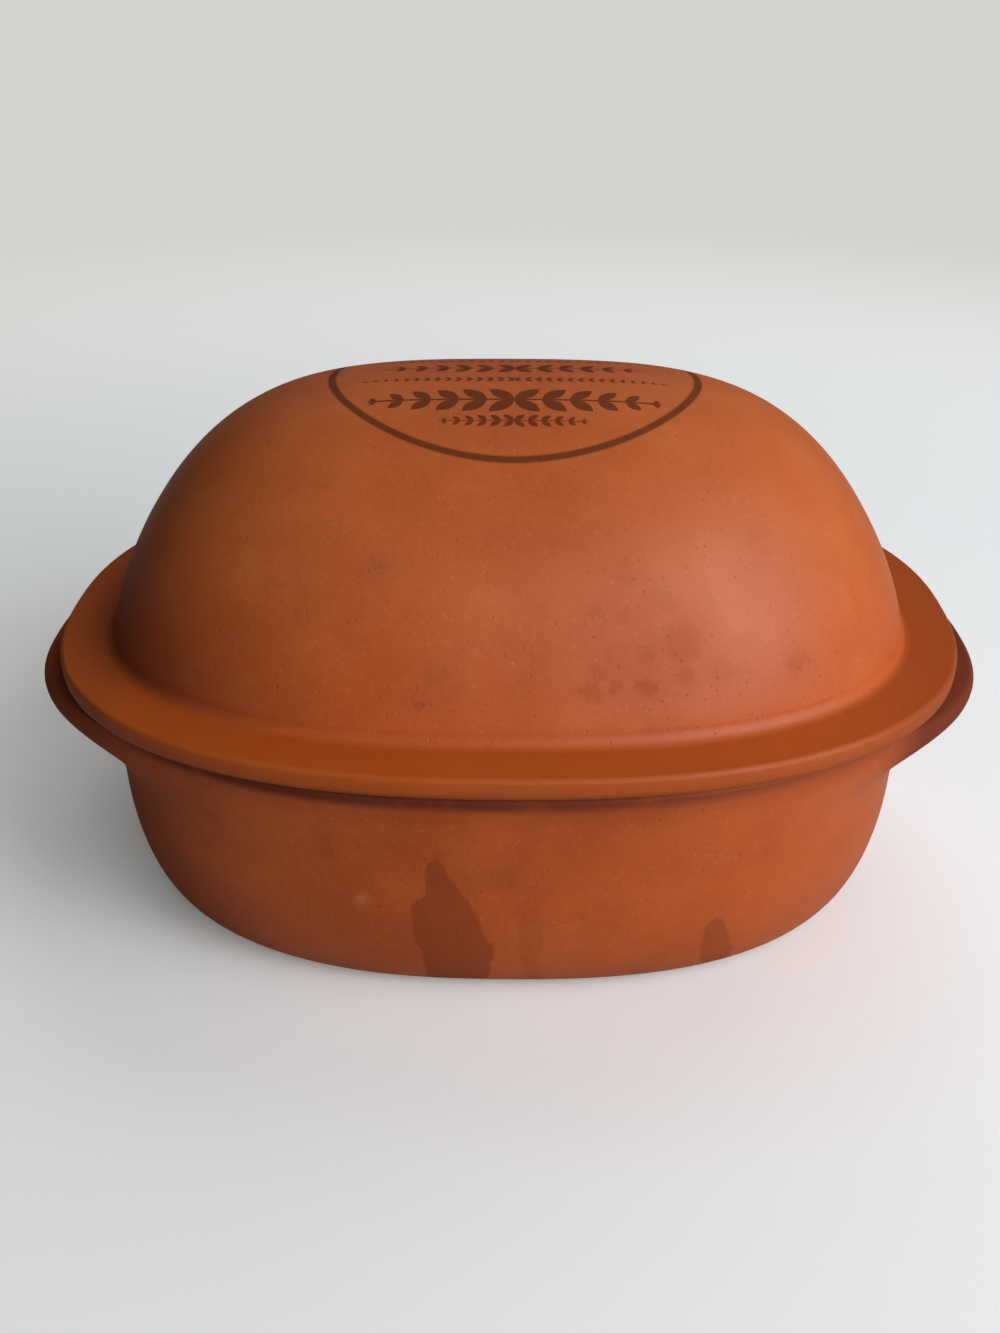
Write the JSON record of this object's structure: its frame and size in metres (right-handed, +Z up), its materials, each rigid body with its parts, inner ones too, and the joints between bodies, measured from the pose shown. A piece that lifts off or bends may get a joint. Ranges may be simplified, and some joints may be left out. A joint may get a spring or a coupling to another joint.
{
  "type": "lidded clay baker",
  "caption": "Oval unglazed terracotta baker: deep dish with a lug handle at each end, and a loose domed lid whose brim rests on the dish's flat rim.",
  "frame": {"origin": "centre of the overall box, on the surface that the dish stands on", "axes": "+X along the length from lug to lug, +Z up, -Y towards the viewer of the picture"},
  "size_m": [0.343, 0.244, 0.1834],
  "materials": {
    "dish_clay": "matte unglazed terracotta, smooth pressed surface, used and slightly stained",
    "lid_clay": "matte unglazed terracotta, smooth pressed surface, plain oval line printed on the dome"
  },
  "bodies": {
    "dish": {"base_dish": "dish_clay"},
    "lid": {"lid": "lid_clay"}
  },
  "joints": [
    {"name": "lid_lift", "type": "slide", "parent": "dish", "child": "lid", "axis": [0, 0, 1], "range_m": [0, 0.15]}
  ]
}
